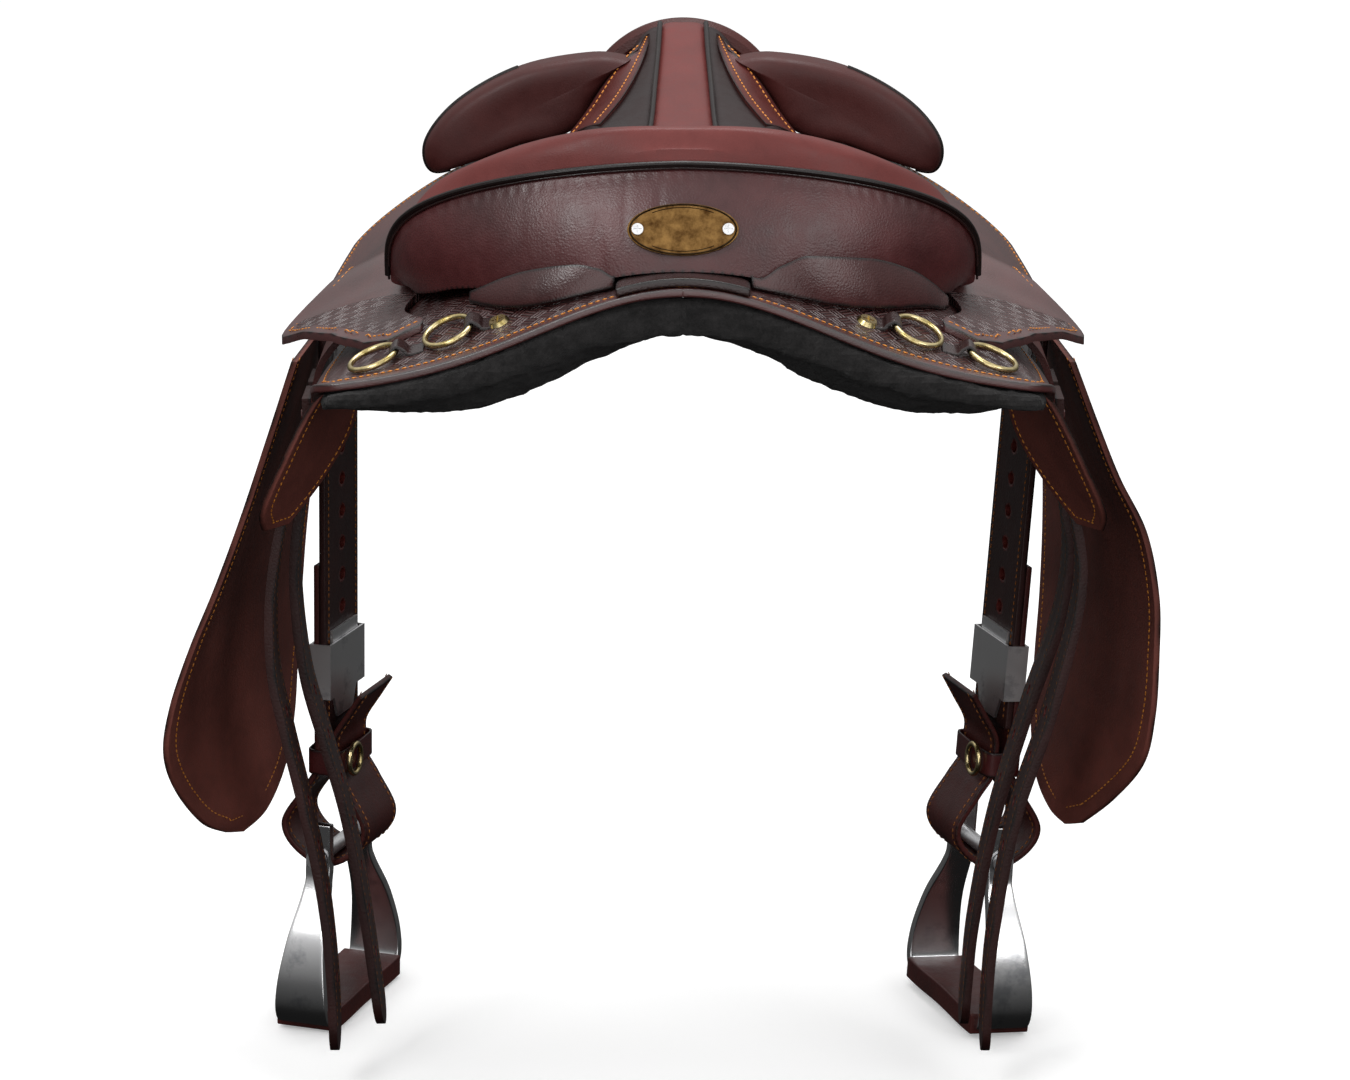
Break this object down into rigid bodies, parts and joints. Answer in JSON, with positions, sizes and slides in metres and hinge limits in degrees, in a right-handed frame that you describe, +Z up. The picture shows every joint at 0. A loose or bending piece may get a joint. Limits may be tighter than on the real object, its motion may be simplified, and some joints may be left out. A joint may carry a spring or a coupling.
{
  "type": "stock saddle",
  "caption": "Stock saddle with padded cantle, knee pads, square rear skirts over felt, dee rings, girth points, fenders and hanging stirrups.",
  "frame": {"origin": "on the plane of symmetry, midway along the seat, level with the underside of the gullet", "axes": "+X to the horse's right, +Y forwards towards the pommel, +Z up"},
  "size_m": [0.6469, 0.5143, 0.6642],
  "materials": {
    "wood": "sealed",
    "steel": "polished",
    "brass": "aged",
    "aluminium": "polished",
    "webbing": "woven",
    "foam": "matt",
    "felt": "felted",
    "seat_leather": "smooth waxed",
    "skirt_leather": "stamped and waxed",
    "strap_leather": "waxed",
    "dark_leather": "dark waxed",
    "lace_leather": "red latigo"
  },
  "bodies": {
    "saddle": {"tree": "wood", "gullet_plate": "steel", "stirrup_bar_left": "steel", "stirrup_bar_right": "steel", "bar_rivets": "brass", "seat_webbing": "webbing", "seat_foam": "foam", "seat_cover": "seat_leather", "seat_piping": "dark_leather", "cantle_back": "strap_leather", "cantle_piping": "dark_leather", "pommel_cap": "skirt_leather", "knee_pad_left": "skirt_leather", "knee_pad_right": "skirt_leather", "seat_jockey_left": "skirt_leather", "seat_jockey_right": "skirt_leather", "rear_jockey_left": "skirt_leather", "rear_jockey_right": "skirt_leather", "skirt_left": "skirt_leather", "skirt_right": "skirt_leather", "felt_panel_left": "felt", "felt_panel_right": "felt", "skirt_join_tab": "skirt_leather", "badge_plate": "brass", "badge_screws": "steel", "skirt_screws": "brass", "dee_loops": "skirt_leather", "rigging_web": "strap_leather"},
    "sweat_flap_left": {"sweat_flap_left": "strap_leather"},
    "girth_point_rear_left": {"girth_point_rear_left": "strap_leather"},
    "girth_point_front_left": {"girth_point_front_left": "strap_leather"},
    "stirrup_leather_left": {"stirrup_strap_left": "strap_leather", "stirrup_loop_left": "strap_leather", "buckle_plate_left": "steel", "hobble_strap_left": "lace_leather", "hobble_buckle_left": "brass"},
    "fender_left": {"fender_left": "strap_leather"},
    "buckle_sleeve_left": {"buckle_sleeve_left": "steel"},
    "stirrup_left": {"stirrup_frame_left": "aluminium", "stirrup_bolt_left": "steel", "tread_cover_left": "dark_leather"},
    "dee_ring_inner_left": {"dee_ring_inner_left": "brass"},
    "dee_ring_outer_left": {"dee_ring_outer_left": "brass"},
    "sweat_flap_right": {"sweat_flap_right": "strap_leather"},
    "girth_point_rear_right": {"girth_point_rear_right": "strap_leather"},
    "girth_point_front_right": {"girth_point_front_right": "strap_leather"},
    "stirrup_leather_right": {"stirrup_strap_right": "strap_leather", "stirrup_loop_right": "strap_leather", "buckle_plate_right": "steel", "hobble_strap_right": "lace_leather", "hobble_buckle_right": "brass"},
    "fender_right": {"fender_right": "strap_leather"},
    "buckle_sleeve_right": {"buckle_sleeve_right": "steel"},
    "stirrup_right": {"stirrup_frame_right": "aluminium", "stirrup_bolt_right": "steel", "tread_cover_right": "dark_leather"},
    "dee_ring_inner_right": {"dee_ring_inner_right": "brass"},
    "dee_ring_outer_right": {"dee_ring_outer_right": "brass"}
  },
  "joints": [
    {"name": "dee_ring_inner_left_turn", "type": "hinge", "parent": "saddle", "child": "dee_ring_inner_left", "pos_m": [-0.1243, -0.262, 0.02025], "axis": [0, 0.9515, 0.3077], "range_deg": [0, 60]},
    {"name": "dee_ring_outer_left_turn", "type": "hinge", "parent": "saddle", "child": "dee_ring_outer_left", "pos_m": [-0.1683, -0.262, 0.00453], "axis": [0, 0.9843, 0.1763], "range_deg": [0, 60]},
    {"name": "sweat_flap_left_swing", "type": "hinge", "parent": "saddle", "child": "sweat_flap_left", "pos_m": [-0.198, -0.088, -0.01911], "axis": [0.2264, 0.9557, 0.188], "range_deg": [0, 9]},
    {"name": "girth_point_rear_left_swing", "type": "hinge", "parent": "saddle", "child": "girth_point_rear_left", "pos_m": [-0.23605, -0.074, -0.078], "axis": [1, 0, 0], "range_deg": [-15, 0]},
    {"name": "girth_point_front_left_swing", "type": "hinge", "parent": "saddle", "child": "girth_point_front_left", "pos_m": [-0.23605, -0.024, -0.078], "axis": [1, 0, 0], "range_deg": [0, 8]},
    {"name": "stirrup_leather_left_swing", "type": "hinge", "parent": "saddle", "child": "stirrup_leather_left", "pos_m": [-0.229, 0.086, -0.062], "axis": [0.9509, -0.309, -0.0175], "range_deg": [0, 15]},
    {"name": "fender_left_lift", "type": "hinge", "parent": "stirrup_leather_left", "child": "fender_left", "pos_m": [-0.24047, 0.06, -0.05455], "axis": [0.0449, 0.9981, -0.0432], "range_deg": [0, 40]},
    {"name": "buckle_sleeve_left_slide", "type": "slide", "parent": "stirrup_leather_left", "child": "buckle_sleeve_left", "axis": [0.0166, -0.0054, 0.9998], "range_m": [0, 0.035]},
    {"name": "stirrup_left_rock", "type": "hinge", "parent": "stirrup_leather_left", "child": "stirrup_left", "pos_m": [-0.23484, 0.0879, -0.41395], "axis": [0.309, 0.9511, 0], "range_deg": [0, 25]},
    {"name": "dee_ring_inner_right_turn", "type": "hinge", "parent": "saddle", "child": "dee_ring_inner_right", "pos_m": [0.1243, -0.262, 0.02025], "axis": [0, -0.9515, -0.3077], "range_deg": [0, 60]},
    {"name": "dee_ring_outer_right_turn", "type": "hinge", "parent": "saddle", "child": "dee_ring_outer_right", "pos_m": [0.1683, -0.262, 0.00453], "axis": [0, -0.9843, -0.1763], "range_deg": [0, 60]},
    {"name": "sweat_flap_right_swing", "type": "hinge", "parent": "saddle", "child": "sweat_flap_right", "pos_m": [0.198, -0.088, -0.01911], "axis": [0.2264, -0.9557, -0.188], "range_deg": [0, 9]},
    {"name": "girth_point_rear_right_swing", "type": "hinge", "parent": "saddle", "child": "girth_point_rear_right", "pos_m": [0.23605, -0.074, -0.078], "axis": [1, 0, 0], "range_deg": [-15, 0]},
    {"name": "girth_point_front_right_swing", "type": "hinge", "parent": "saddle", "child": "girth_point_front_right", "pos_m": [0.23605, -0.024, -0.078], "axis": [1, 0, 0], "range_deg": [0, 8]},
    {"name": "stirrup_leather_right_swing", "type": "hinge", "parent": "saddle", "child": "stirrup_leather_right", "pos_m": [0.229, 0.086, -0.062], "axis": [0.9481, 0.3081, -0.0785], "range_deg": [0, 15]},
    {"name": "fender_right_lift", "type": "hinge", "parent": "stirrup_leather_right", "child": "fender_right", "pos_m": [0.24117, 0.06, -0.05455], "axis": [0.0449, -0.9981, 0.0432], "range_deg": [0, 40]},
    {"name": "buckle_sleeve_right_slide", "type": "slide", "parent": "stirrup_leather_right", "child": "buckle_sleeve_right", "axis": [0.0746, 0.0242, 0.9969], "range_m": [0, 0.035]},
    {"name": "stirrup_right_rock", "type": "hinge", "parent": "stirrup_leather_right", "child": "stirrup_right", "pos_m": [0.20273, 0.07747, -0.41291], "axis": [0.309, -0.9511, 0], "range_deg": [0, 25]}
  ]
}
